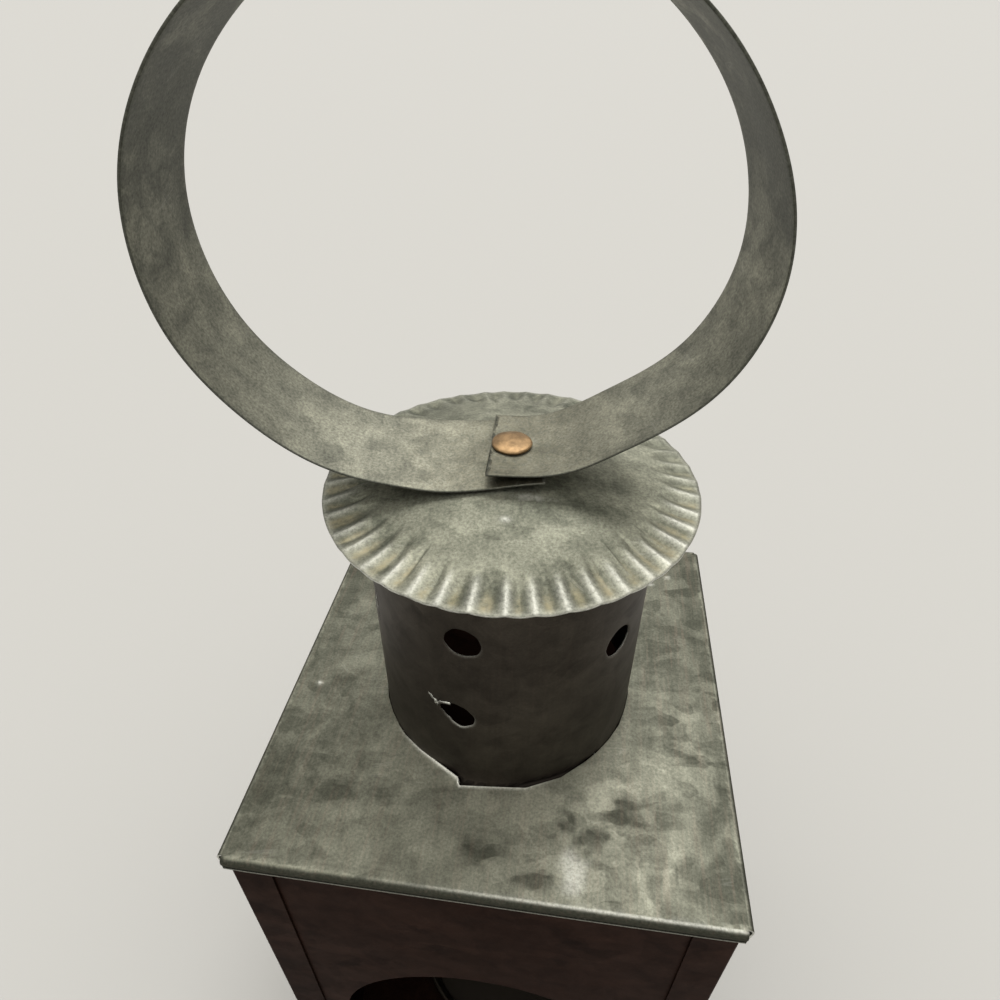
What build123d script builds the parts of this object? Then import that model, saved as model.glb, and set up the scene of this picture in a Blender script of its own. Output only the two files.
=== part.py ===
"""Punched tin lantern: a square folded tin body with an arched front opening, a flat roof, a punched
chimney under a crimped cap, and a ring handle bent from one strap and held by a single copper rivet.

Millimetres. X is the width, -Y the front, +Z up. The origin is the middle of the base's underside.
"""

from build123d import *
from math import atan2, cos, pi, radians, sin, tan
import os

# Sheet and clearances
sheet = 0.5
hem_width = 3.5
flat_gap = 0.05
overrun = 2.0

# Roof and base
roof_width = 130.0
roof_depth = 133.5
roof_height = 210.0
fold_radius = 1.5
roof_lip = 4.6
base_lip = 7.0

# Body walls
side_inset = 1.5
front_inset = 1.9
flange_width = 11.0
wall_corner_radius = 1.0
panel_side_gap = 0.7

# Arched opening in the front panel
arch_radius = 45.0
arch_top_below_roof = 61.0
sill_height = 32.0

# Punched rosette in each side panel
punch_radius = 1.3
rosette_pitch = 9.0
rosette_rings = 4
rosette_first_count = 6
border_below_roof = 30.0
border_above_base = 56.0
border_pitch = 12.0
border_count = 7

# Chimney
chimney_radius = 37.0
chimney_hole_gap = 0.4
tab_reach = 6.0
tab_count = 8
tab_slot_width = 5.0
seam_width = 8.0
seam_foot_gap = 0.6
vent_radius = 4.3
vent_columns = 6
vent_first_angle = -12.0
vent_middle_shift = 4.0
vent_upper_height = 54.6
vent_middle_height = 44.8
vent_lower_height = 26.8

# Crimped cap
cap_radius = 46.0
cap_rim_height = 73.6
cap_rise = 8.8
cap_pad_radius = 5.2
crimp_count = 43
crimp_first_angle = -3.6
crimp_start_radius = 31.0
crimp_height = 1.0
crimp_lift_shares = (1.0, 0.35, 0.0, 0.35)

# Ring handle
strap_width = 28.5
strap_thickness = 0.8
seat_gap = 0.1
lap_gap = 0.5
lap_left = 5.5
lap_right = 7.5
lap_lift = 0.4
seat_bend_start = 6.0
head_gap = 0.1
ring_yaw = 6.5
ring_width = 120.0
ring_height = 100.0
ring_outline_shares = (
    (-0.160, 0.004),
    (-0.275, 0.023),
    (-0.450, 0.142),
    (-0.565, 0.355),
    (-0.566, 0.612),
    (-0.458, 0.825),
    (-0.296, 0.951),
    (-0.119, 0.998),
    (0.057, 0.973),
    (0.222, 0.877),
    (0.354, 0.701),
    (0.412, 0.458),
    (0.337, 0.219),
    (0.192, 0.087),
)
strap_stations = 40

# Handle rivet and its burr
rivet_head_radius = 5.0
rivet_head_height = 1.4
rivet_head_edge = 0.35
rivet_shank_radius = 1.6
shank_turning_gap = 0.08
burr_radius = 4.4
burr_thickness = 0.8
tail_radius = 2.5
tail_height = 1.2

# Candle socket and drip pan
candle_bore_radius = 11.2
socket_height = 25.0
socket_foot_reach = 4.0
pan_radius = 34.0
pan_rim_height = 7.0
pan_flare = 3.0
pan_bead_radius = 0.9

# Heights and places worked out from the sizes above
roof_under = roof_height - sheet
floor_top = sheet
wall_height = roof_under - floor_top
wall_x = roof_width / 2 - side_inset
wall_y = roof_depth / 2 - front_inset
panel_half_width = wall_x - sheet - panel_side_gap
panel_face_y = wall_y - sheet - flat_gap
arch_spring_z = roof_height - arch_top_below_roof - arch_radius
border_rows_apart = roof_height - border_below_roof - border_above_base
rosette_height = border_above_base + border_rows_apart / 2
cap_rim_z = roof_height + cap_rim_height
cap_pad_z = cap_rim_z + cap_rise
cap_slope = atan2(cap_rise, cap_radius - cap_pad_radius)
cap_under_at_chimney = cap_rim_z - sheet + (cap_radius - chimney_radius) * tan(cap_slope)
chimney_top_z = cap_under_at_chimney - flat_gap
strap_low_z = cap_pad_z + seat_gap + strap_thickness / 2
layer_step = strap_thickness + lap_gap
head_z = strap_low_z + layer_step + strap_thickness / 2 + head_gap
pad_under_z = cap_pad_z - sheet
burr_z = pad_under_z - seat_gap - burr_thickness

os.makedirs("parts", exist_ok=True)


def folded_lip(edge_plane, run, drop):
    """Adds a quarter-round fold and its flat drop, along the whole of one sheet edge."""
    with BuildSketch(edge_plane) as profile:
        with BuildLine():
            outer = CenterArc((0, -fold_radius), fold_radius, 0, 90)
            inner = CenterArc((0, -fold_radius), fold_radius - sheet, 0, 90)
            Polyline(
                outer @ 0,
                (fold_radius, -drop),
                (fold_radius - sheet, -drop),
                inner @ 0,
            )
            Line(inner @ 1, outer @ 1)
        make_face()
    extrude(profile.sketch, amount=run / 2, both=True)


def folded_tray(face_z, drop, up):
    """Adds a flat sheet with four folded lips. Its outer face is at face_z, and up is +1 or -1."""
    flat_width = roof_width - 2 * fold_radius
    flat_depth = roof_depth - 2 * fold_radius
    with BuildSketch(Plane.XY.offset(face_z)) as flat:
        Rectangle(flat_width, flat_depth)
    extrude(flat.sketch, amount=-sheet * up)
    for across, reach, run in (
        (Vector(1, 0, 0), flat_width / 2, flat_depth),
        (Vector(-1, 0, 0), flat_width / 2, flat_depth),
        (Vector(0, 1, 0), flat_depth / 2, flat_width),
        (Vector(0, -1, 0), flat_depth / 2, flat_width),
    ):
        start = across * reach + Vector(0, 0, face_z)
        edge_plane = Plane(origin=start, x_dir=across, z_dir=across.cross(Vector(0, 0, up)))
        folded_lip(edge_plane, run, drop)


def wall_plane(height):
    """The left wall's outer face, seen from outside, with its centre at this height."""
    return Plane(origin=(-wall_x, 0, height), x_dir=(0, -1, 0), z_dir=(-1, 0, 0))


def flat_panel(outward):
    """Adds the plain sheet that slips behind the flanges at the front (-1) or the back (+1)."""
    with BuildSketch(Plane.XY.offset(floor_top)) as footprint:
        with Locations((0, outward * (panel_face_y - sheet / 2))):
            Rectangle(2 * panel_half_width, sheet)
    extrude(footprint.sketch, amount=wall_height)


def arch_face(margin, lower):
    """The opening's outline, grown by margin, down to lower."""
    radius = arch_radius + margin
    with Locations((0, arch_spring_z)):
        Circle(radius)
    with Locations((0, (arch_spring_z + lower) / 2)):
        Rectangle(2 * radius, arch_spring_z - lower)


# Base: a tray with upturned lips, which the walls stand in
with BuildPart() as base_pan:
    folded_tray(0, base_lip, -1)
base_pan.part.label = "base_pan"
export_step(base_pan.part, "parts/base_pan.step")

# Side panel: a channel whose flanges fold round the front and back corners
with BuildPart() as left_side:
    with BuildSketch(Plane.XY.offset(floor_top)):
        with Locations((-wall_x + flange_width / 2, 0)):
            channel = Rectangle(flange_width, 2 * wall_y)
        fillet(channel.vertices().group_by(Axis.X)[0], radius=wall_corner_radius)
        with BuildSketch(mode=Mode.SUBTRACT):
            with Locations((-wall_x + sheet + flange_width / 2, 0)):
                hollow = Rectangle(flange_width, 2 * (wall_y - sheet))
            fillet(hollow.vertices().group_by(Axis.X)[0], radius=wall_corner_radius - sheet)
    extrude(amount=wall_height)
    with BuildSketch(wall_plane(rosette_height)):
        Circle(punch_radius)
        for ring in range(1, rosette_rings + 1):
            with PolarLocations(ring * rosette_pitch, ring * rosette_first_count):
                Circle(punch_radius)
        with GridLocations(border_pitch, border_rows_apart, border_count, 2):
            Circle(punch_radius)
    extrude(amount=-overrun, mode=Mode.SUBTRACT)
left_side.part.label = "left_side"
export_step(left_side.part, "parts/left_side.step")

with BuildPart() as right_side:
    mirror(left_side.part, about=Plane.YZ)
right_side.part.label = "right_side"
export_step(right_side.part, "parts/right_side.step")

with BuildPart() as back_panel:
    flat_panel(1)
back_panel.part.label = "back_panel"
export_step(back_panel.part, "parts/back_panel.step")

# Front panel: the arch's raw edge is hemmed, so a folded strip lies behind it
with BuildPart() as front_panel:
    flat_panel(-1)
    with BuildSketch(Plane.XZ.offset(panel_face_y - sheet)):
        arch_face(hem_width, sill_height - hem_width)
    extrude(amount=-sheet)
    with BuildSketch(Plane.XZ.offset(panel_face_y)):
        arch_face(0, sill_height)
    extrude(amount=-(2 * sheet + overrun), mode=Mode.SUBTRACT)
front_panel.part.label = "front_panel"
export_step(front_panel.part, "parts/front_panel.step")

# Roof: a tray upside down, with the chimney's hole
with BuildPart() as roof_plate:
    folded_tray(roof_height, roof_lip, 1)
    with Locations((0, 0, roof_height)):
        Hole(chimney_radius + chimney_hole_gap, depth=overrun)
roof_plate.part.label = "roof_plate"
export_step(roof_plate.part, "parts/roof_plate.step")

# Chimney: a rolled tube with a lapped seam at the back, tabs folded out under the roof, and punched vents
with BuildPart() as chimney:
    tab_z = roof_under - flat_gap - sheet
    with BuildSketch(Plane.XY.offset(tab_z)):
        Circle(chimney_radius + tab_reach)
        Circle(chimney_radius - sheet, mode=Mode.SUBTRACT)
        with PolarLocations(chimney_radius + tab_reach, tab_count):
            Rectangle(2 * tab_reach, tab_slot_width, mode=Mode.SUBTRACT)
    extrude(amount=sheet)
    with BuildSketch(Plane.XY.offset(tab_z)):
        Circle(chimney_radius)
        Circle(chimney_radius - sheet, mode=Mode.SUBTRACT)
    extrude(amount=chimney_top_z - tab_z)
    with BuildSketch(Plane.XY.offset(roof_height + seam_foot_gap)):
        Circle(chimney_radius + sheet)
        Circle(chimney_radius - sheet / 2, mode=Mode.SUBTRACT)
        with Locations((0, chimney_radius)):
            Rectangle(seam_width, chimney_radius, mode=Mode.INTERSECT)
    extrude(amount=chimney_top_z - roof_height - 2 * seam_foot_gap)
    column_step = 360 / vent_columns
    for column in range(vent_columns):
        paired = column % 2 == 0
        heights = (vent_upper_height, vent_lower_height) if paired else (vent_middle_height,)
        shift = 0 if paired else vent_middle_shift
        bearing = radians(vent_first_angle + shift + column * column_step)
        outward = Vector(sin(bearing), -cos(bearing), 0)
        for height in heights:
            centre = outward * chimney_radius + Vector(0, 0, roof_height + height)
            with BuildSketch(Plane(origin=centre, z_dir=outward)):
                Circle(vent_radius)
            extrude(amount=overrun, both=True, mode=Mode.SUBTRACT)
chimney.part.label = "chimney"
export_step(chimney.part, "parts/chimney.step")

# Cap: a shallow cone of sheet with crimps raised round its rim, closed from flat facets
def cap_ring(radius, base_z, lift):
    """One ring of points round the cap, raised by lift on the crimps' ridges."""
    steps = crimp_count * len(crimp_lift_shares)
    points = []
    for step in range(steps):
        bearing = radians(crimp_first_angle) + 2 * pi * step / steps
        z = base_z + lift * crimp_lift_shares[step % len(crimp_lift_shares)]
        points.append(Vector(radius * sin(bearing), -radius * cos(bearing), z))
    return points


def cap_strip(upper, lower, level):
    """The facets between two rings: one quadrangle each where it is level, otherwise two triangles."""
    facets = []
    for step, a in enumerate(upper):
        after = (step + 1) % len(upper)
        b, c, d = upper[after], lower[after], lower[step]
        corners = ((a, b, c, d),) if level else ((a, b, c), (a, c, d))
        facets += [Face(Wire.make_polygon(ring)) for ring in corners]
    return facets


cap_start_z = cap_pad_z - (crimp_start_radius - cap_pad_radius) * tan(cap_slope)
top_rings = [
    cap_ring(cap_pad_radius, cap_pad_z, 0),
    cap_ring(crimp_start_radius, cap_start_z, 0),
    cap_ring(cap_radius, cap_rim_z, crimp_height),
]
under_rings = [[point - Vector(0, 0, sheet) for point in ring] for ring in top_rings]
cap_facets = [Face(Wire.make_polygon(top_rings[0])), Face(Wire.make_polygon(under_rings[0]))]
for rings in (top_rings, under_rings):
    cap_facets += cap_strip(rings[0], rings[1], True) + cap_strip(rings[1], rings[2], False)
cap_facets += cap_strip(top_rings[2], under_rings[2], True)

with BuildPart() as cap:
    add(Solid(Shell(cap_facets)))
    with Locations((0, 0, cap_pad_z)):
        Hole(rivet_shank_radius + shank_turning_gap, depth=overrun)
cap.part.label = "cap"
export_step(cap.part, "parts/cap.step")

# Ring handle: one strap, bent round to a leaning ring, with its two ends lapped on the cap
ring_plane = Plane(
    origin=(0, 0, strap_low_z),
    x_dir=(cos(radians(ring_yaw)), sin(radians(ring_yaw)), 0),
    z_dir=(sin(radians(ring_yaw)), -cos(radians(ring_yaw)), 0),
)
ring_points = [(lap_right, lap_lift), (-lap_left, 0)]
ring_points += [(across * ring_width, up * ring_height) for across, up in ring_outline_shares]
ring_points += [(seat_bend_start, layer_step), (-lap_left, layer_step)]
lower_end_way = (-lap_right, -lap_lift)
upper_end_way = (-lap_left, 0)
with BuildLine() as centreline:
    Spline(*ring_points, tangents=(lower_end_way, upper_end_way))


def strap_edge(shift):
    """One face of the bent strap, shifted from its centreline towards the ring's middle. Returns its ends."""
    middle = centreline.edge()
    points = []
    for station in range(strap_stations + 1):
        share = station / strap_stations
        inward = (middle % share).rotate(Axis.Z, -90)
        points.append(middle @ share + inward * shift)
    Spline(*points, tangents=(middle % 0, middle % 1))
    return points[0], points[-1]


with BuildPart() as handle_strap:
    with BuildSketch(ring_plane):
        with BuildLine():
            outer_ends = strap_edge(-strap_thickness / 2)
            inner_ends = strap_edge(strap_thickness / 2)
            Line(outer_ends[0], inner_ends[0])
            Line(outer_ends[1], inner_ends[1])
        make_face()
    extrude(amount=strap_width / 2, both=True)
    with Locations((0, 0, head_z)):
        Hole(rivet_shank_radius + flat_gap, depth=2 * layer_step + overrun)
handle_strap.part.label = "handle_strap"
export_step(handle_strap.part, "parts/handle_strap.step")

# Copper rivet: a shallow domed head above the strap, the shank, and the tail set over the burr
with BuildPart() as handle_rivet:
    with BuildSketch(Plane.XZ):
        with BuildLine():
            head_edge_z = head_z + rivet_head_edge
            head_top_z = head_z + rivet_head_height
            dome_rise = rivet_head_height - rivet_head_edge
            dome_radius = (rivet_head_radius**2 + dome_rise**2) / (2 * dome_rise)
            RadiusArc((0, head_top_z), (rivet_head_radius, head_edge_z), dome_radius)
            Polyline(
                (rivet_head_radius, head_edge_z),
                (rivet_head_radius, head_z),
                (rivet_shank_radius, head_z),
                (rivet_shank_radius, burr_z),
                (tail_radius, burr_z),
            )
            tail_sphere = (tail_radius**2 + tail_height**2) / (2 * tail_height)
            RadiusArc((tail_radius, burr_z), (0, burr_z - tail_height), tail_sphere)
            Line((0, burr_z - tail_height), (0, head_top_z))
        make_face()
    revolve(axis=Axis.Z)
handle_rivet.part.label = "handle_rivet"
export_step(handle_rivet.part, "parts/handle_rivet.step")

with BuildPart() as rivet_burr:
    with BuildSketch(Plane.XY.offset(burr_z)):
        Circle(burr_radius)
        Circle(rivet_shank_radius + flat_gap, mode=Mode.SUBTRACT)
    extrude(amount=burr_thickness)
rivet_burr.part.label = "rivet_burr"
export_step(rivet_burr.part, "parts/rivet_burr.step")

# Drip pan: a shallow dish with a flared wall and a rolled bead
with BuildPart() as drip_pan:
    with BuildSketch(Plane.XZ):
        bead_x = pan_radius + pan_flare
        bead_z = floor_top + pan_rim_height
        with BuildLine():
            Polyline(
                (0, floor_top),
                (pan_radius, floor_top),
                (bead_x, bead_z),
                (bead_x - sheet, bead_z),
                (pan_radius - sheet, floor_top + sheet),
                (0, floor_top + sheet),
                close=True,
            )
        make_face()
        with Locations((bead_x, bead_z)):
            Circle(pan_bead_radius)
    revolve(axis=Axis.Z)
drip_pan.part.label = "drip_pan"
export_step(drip_pan.part, "parts/drip_pan.step")

# Candle socket: a tin tube on a flat foot
with BuildPart() as candle_socket:
    socket_z = floor_top + sheet
    with BuildSketch(Plane.XY.offset(socket_z)):
        Circle(candle_bore_radius + sheet + socket_foot_reach)
        Circle(candle_bore_radius, mode=Mode.SUBTRACT)
    extrude(amount=sheet)
    with BuildSketch(Plane.XY.offset(socket_z)):
        Circle(candle_bore_radius + sheet)
        Circle(candle_bore_radius, mode=Mode.SUBTRACT)
    extrude(amount=socket_height)
candle_socket.part.label = "candle_socket"
export_step(candle_socket.part, "parts/candle_socket.step")
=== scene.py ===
"""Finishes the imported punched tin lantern: aged tin, copper, a pale studio and the camera.

Metres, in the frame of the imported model: X is the width, -Y the front and +Z up. Bearings are angles
about the lantern's upright axis, from the front (-Y) towards +X. Marks on a sheet have places in mm.
"""

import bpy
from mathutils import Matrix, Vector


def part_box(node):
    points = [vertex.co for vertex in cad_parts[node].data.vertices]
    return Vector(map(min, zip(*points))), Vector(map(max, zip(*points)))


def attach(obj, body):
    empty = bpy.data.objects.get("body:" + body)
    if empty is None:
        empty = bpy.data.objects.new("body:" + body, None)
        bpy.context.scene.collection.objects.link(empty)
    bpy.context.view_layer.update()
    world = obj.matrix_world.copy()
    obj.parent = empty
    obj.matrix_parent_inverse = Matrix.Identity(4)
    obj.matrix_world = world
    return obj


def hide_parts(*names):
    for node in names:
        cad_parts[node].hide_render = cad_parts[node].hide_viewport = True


bl_info = {
    "name": "Punched tin lantern",
    "version": (1, 0, 0),
    "blender": (4, 5, 0),
    "location": "3D View > Sidebar > Lantern",
    "description": "Builds the finished tin lantern round its packed model",
    "category": "Object",
}

from math import cos, pi, radians, sin

import bmesh
import bpy
import numpy as np
from bpy.props import FloatProperty, FloatVectorProperty, IntProperty, PointerProperty
from mathutils import Matrix, Vector

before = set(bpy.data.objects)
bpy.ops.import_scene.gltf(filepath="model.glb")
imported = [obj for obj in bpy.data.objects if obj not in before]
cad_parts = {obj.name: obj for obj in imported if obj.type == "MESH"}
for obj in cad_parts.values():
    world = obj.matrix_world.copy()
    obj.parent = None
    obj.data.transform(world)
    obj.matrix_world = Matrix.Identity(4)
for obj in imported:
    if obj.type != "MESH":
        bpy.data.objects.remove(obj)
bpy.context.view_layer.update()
mm = 0.001
sheet = 0.5 * mm
cap_pad_radius = 5.2 * mm


def linear(code):
    """A linear colour with alpha from an sRGB hex value such as "#8A8878"."""
    shares = np.array([int(code[i : i + 2], 16) for i in (1, 3, 5)]) / 255
    low = shares / 12.92
    high = ((shares + 0.055) / 1.055) ** 2.4
    return (*np.where(shares <= 0.04045, low, high).tolist(), 1.0)


# Sizes and colours that a user would change


def colour(name, description, code):
    """A colour setting, with an sRGB hex value as its default."""
    return FloatVectorProperty(
        name=name, description=description, size=4, subtype="COLOR", default=linear(code),
    )


def length(name, description, size):
    """A length setting, with its default in metres."""
    return FloatProperty(name=name, description=description, unit="LENGTH", default=size)


def angle(name, description, degrees):
    """An angle setting, with its default in degrees."""
    return FloatProperty(name=name, description=description, subtype="ANGLE", default=radians(degrees))


class StudioSettings(bpy.types.PropertyGroup):
    """The camera, the lights and the floor."""

    camera_place: FloatVectorProperty(
        name="Camera place", description="Where the camera stands", size=3, subtype="TRANSLATION",
        default=(14.7 * mm, -136.5 * mm, 381.4 * mm),
    )
    camera_yaw: angle("Camera yaw", "Turn to the right from the +Y axis", -7.31)
    camera_dip: angle("Camera dip", "Angle below the horizon", 37.04)
    camera_roll: angle("Camera roll", "Tilt of the picture", 0.315)
    focal_share: FloatProperty(
        name="Focal share", description="Focal length as a share of the frame's width", default=0.6772,
    )
    sky_strength: FloatProperty(name="Sky strength", description="Light from straight above", default=2.4)
    horizon_strength: FloatProperty(
        name="Horizon strength", description="Light from the horizon", default=0.3,
    )
    sun_strength: FloatProperty(name="Key strength", description="Directed light from above", default=1.3)
    floor_colour: colour("Floor colour", "Colour of the floor", "#9F9E9B")


class TinSettings(bpy.types.PropertyGroup):
    """Colours of the aged tinplate and the copper, and the tinplate's thickness."""

    roof_dark: colour("Roof, dark", "Darkest patina on the roof", "#45463D")
    roof_light: colour("Roof, light", "Lightest patina on the roof", "#8F8F80")
    # The chimney's and the walls' patinas are darker copies of the tin: painted shade and painted reflection
    # of the dark room
    chimney_dark: colour("Chimney, dark", "Darkest patina on the chimney", "#29241F")
    chimney_light: colour("Chimney, light", "Lightest patina on the chimney", "#4E4840")
    walls_dark: colour("Walls, dark", "Darkest patina on the walls", "#201511")
    walls_light: colour("Walls, light", "Lightest patina on the walls", "#3E2A22")
    cap_dark: colour("Cap, dark", "Darkest patina on the cap", "#55574C")
    cap_light: colour("Cap, light", "Lightest patina on the cap", "#A0A08F")
    strap_dark: colour("Strap, dark", "Darkest patina on the handle", "#52534B")
    strap_light: colour("Strap, light", "Lightest patina on the handle", "#A3A291")
    # The worn-edge colour also paints the highlights on the cap's crests and the roof's front bend
    wear: colour("Worn edge", "Bare metal on edges and ridges", "#DBDBD2")
    olive: colour("Olive stain", "Greenish stain in the crimps", "#9C997A")
    rust: colour("Rusty stain", "Brownish stain in the crimps", "#A0937A")
    brown: colour("Browned streaks", "Brown between the rolling streaks", "#6B564C")
    copper: colour("Copper", "Colour of the rivet", "#A0835F")
    thickness: length("Sheet", "Thickness of the tinplate", sheet)


class RoofSettings(bpy.types.PropertyGroup):
    """The folded roof and its hand-cut hole."""

    fold_radius: length("Fold radius", "Radius of the folded edges", 1.5 * mm)
    hole_radius: length("Hole radius", "Radius of the chimney's hole", 37.25 * mm)
    wave: length("Waviness", "Height of the sheet's uneven places", 0.22 * mm)


class ChimneySettings(bpy.types.PropertyGroup):
    """The vented chimney."""

    radius: length("Radius", "Outer radius of the tube", 37 * mm)
    vent_radius: length("Vent radius", "Radius of a punched vent", 4.3 * mm)
    vent_columns: IntProperty(name="Vent columns", description="Columns of vents round the tube", default=6)


class CapSettings(bpy.types.PropertyGroup):
    """The crimped cap."""

    crimps: IntProperty(name="Crimps", description="Ridges round the rim", default=43)
    crimp_height: length("Crimp height", "Depth of a flute at the rim", 1.0 * mm)


class HandleSettings(bpy.types.PropertyGroup):
    """The ring handle."""

    ring_width: length("Ring width", "Width that the ring's outline shares follow", 120 * mm)
    ring_height: length("Ring height", "Height that the ring's outline shares follow", 100 * mm)
    ring_yaw: angle("Ring yaw", "Turn of the ring at rest", 6.5)
    strap_width: length("Strap width", "Width of the strap", 28.5 * mm)
    strap_thickness: length("Strap thickness", "Thickness of the strap", 0.55 * mm)


class PunchSettings(bpy.types.PropertyGroup):
    """The punched rosette and rows in the side walls."""

    pitch: length("Ring pitch", "Distance between the rosette's rings", 9 * mm)
    rings: IntProperty(name="Rings", description="Rings of the rosette", default=4)
    row_count: IntProperty(name="Row count", description="Holes in each row", default=7)
    row_pitch: length("Row pitch", "Distance between holes in a row", 12 * mm)


# Surfaces

# What each point of a surface is marked with, as patch explains
marks = ("wear", "stain", "tarnish", "calm")


def around(bearing, radius, z):
    """Points at these bearings, radii and heights about the lantern's axis, as one array of places."""
    bearing, radius, z = np.broadcast_arrays(bearing, radius, z)
    return np.stack([radius * np.sin(bearing), -radius * np.cos(bearing), z], axis=-1)


def unevenness(x, y, size, seed):
    """A gentle random surface: a quarter of the sum of eight plane waves, about size long, in random
    directions."""
    rng = np.random.default_rng(seed)
    ways, phases, stretches = (rng.uniform(low, high, 8) for low, high in ((0, pi), (0, 2 * pi), (0.7, 1.5)))
    total = np.zeros(np.broadcast(x, y).shape)
    for way, phase, stretch in zip(ways, phases, stretches):
        total += np.sin(2 * pi * (x * cos(way) + y * sin(way)) / (size * stretch) + phase)
    return total / 4


def smooth_step(x, low, high):
    """0 below low, 1 above high, and a smooth S between."""
    share = np.clip((x - low) / (high - low), 0, 1)
    return share * share * (3 - 2 * share)


def bell(distance, width, power=2):
    """1 at no distance, and dying away past width: e to the minus distance / width to this power."""
    return np.exp(-(np.abs(distance / width) ** power))


def oval(x, y, at_x, at_y, half_long, half_wide, slant=0):
    """Distance from the middle of a slanted oval, in shares of its half length and half width."""
    along = ((x - at_x) * cos(slant) + (y - at_y) * sin(slant)) / half_long
    across = ((y - at_y) * cos(slant) - (x - at_x) * sin(slant)) / half_wide
    return np.hypot(along, across)


def patch(points, closed=False, wear=0, stain=0, tarnish=0, lie=None, keep=None, calm=0):
    """One grid of points for a mesh, in rows. Its outside is where the cross product of the way along a row
    and the way from row to row points.

    closed joins the last column to the first. wear, stain and tarnish say how worn, how stained and how dark
    each point is, from 0 to 1, where the worn marks also carry painted highlights on the cap's crests and the
    roof's front bend, and the dark marks painted shade, up to 2 for deep painted shade in gaps and folds;
    calm says how free of blots. lie is where each point lies on the flat sheet, for the patterns, or its
    place. keep marks the cells that stay.
    """
    rows, columns = points.shape[:2]
    cells = np.arange(rows * columns).reshape(rows, columns)
    after = np.roll(cells, -1, axis=1)
    last = columns if closed else columns - 1
    quads = np.stack([cells[:-1, :last], after[:-1, :last], after[1:, :last], cells[1:, :last]], axis=-1)
    part = {
        mark: np.broadcast_to(value, (rows, columns)).reshape(-1)
        for mark, value in zip(marks, (wear, stain, tarnish, calm))
    }
    part["points"] = points.reshape(-1, 3)
    part["quads"] = quads[keep] if keep is not None else quads.reshape(-1, 4)
    part["lie"] = (points if lie is None else lie).reshape(-1, 3)
    return part


def new_piece(name, patches):
    """One mesh from patches, whose points are merged where they meet."""
    merge_distance = 0.02 * mm
    starts = np.cumsum([0] + [len(part["points"]) for part in patches])
    quads = np.concatenate([part["quads"] + start for part, start in zip(patches, starts)])
    whole = {key: np.concatenate([part[key] for part in patches]) for key in (*marks, "points", "lie")}
    mesh = bpy.data.meshes.new(name)
    mesh.vertices.add(len(whole["points"]))
    mesh.vertices.foreach_set("co", whole["points"].ravel())
    mesh.loops.add(quads.size)
    mesh.loops.foreach_set("vertex_index", quads.ravel())
    mesh.polygons.add(len(quads))
    mesh.polygons.foreach_set("loop_start", np.arange(len(quads)) * 4)
    mesh.polygons.foreach_set("use_smooth", np.ones(len(quads), dtype=bool))
    mesh.update(calc_edges=True)
    for mark in marks:
        mesh.attributes.new(mark, "FLOAT", "POINT").data.foreach_set("value", whole[mark])
    mesh.attributes.new("lie", "FLOAT_VECTOR", "POINT").data.foreach_set("vector", whole["lie"].ravel())
    shape = bmesh.new()
    shape.from_mesh(mesh)
    bmesh.ops.remove_doubles(shape, verts=shape.verts, dist=merge_distance)
    loose = [vert for vert in shape.verts if not vert.link_faces]
    bmesh.ops.delete(shape, geom=loose, context="VERTS")
    shape.to_mesh(mesh)
    shape.free()
    piece = bpy.data.objects.new(name, mesh)
    bpy.context.scene.collection.objects.link(piece)
    return piece


def put_together(piece, body, slot, materials, *nodes):
    """Gives a piece its materials and its body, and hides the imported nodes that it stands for."""
    for material in materials:
        piece.data.materials.append(material)
    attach(piece, body)
    if nodes:
        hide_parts(*nodes)


def make_sheet(context, name, patches, which, slot, node):
    """A piece of tinplate on the lantern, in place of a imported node: a surface with the sheet's thickness
    on its inner side, the named aged tin, and cut edges in a second material."""
    piece = new_piece(name, patches)
    wall = piece.modifiers.new("sheet", "SOLIDIFY")
    wall.thickness = context.scene.lantern_tin.thickness
    wall.offset = -1
    wall.material_offset_rim = 1
    wall.use_even_offset = True
    put_together(piece, "lantern", slot, (tin_finish(context, which), edge_finish(context)), node)


def paint_nodes(material, *names):
    """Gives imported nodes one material."""
    for name in names:
        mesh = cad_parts[name].data
        mesh.materials.clear()
        mesh.materials.append(material)


# Materials


def add_node(tree, kind, inputs=None, **settings):
    """Adds one shader node. inputs sets its sockets, by name or number, to a value, to another node's
    output, or to the first output of a node."""
    node = tree.nodes.new("ShaderNode" + kind)
    for key, value in settings.items():
        setattr(node, key, value)
    for key, value in (inputs or {}).items():
        if isinstance(value, bpy.types.Node):
            value = value.outputs[0]
        if isinstance(value, bpy.types.NodeSocket):
            tree.links.new(value, node.inputs[key])
        else:
            node.inputs[key].default_value = value
    return node


def new_material(name):
    """A new material, and its empty node tree."""
    material = bpy.data.materials.new(name)
    material.use_nodes = True
    material.node_tree.nodes.clear()
    return material, material.node_tree


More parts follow.
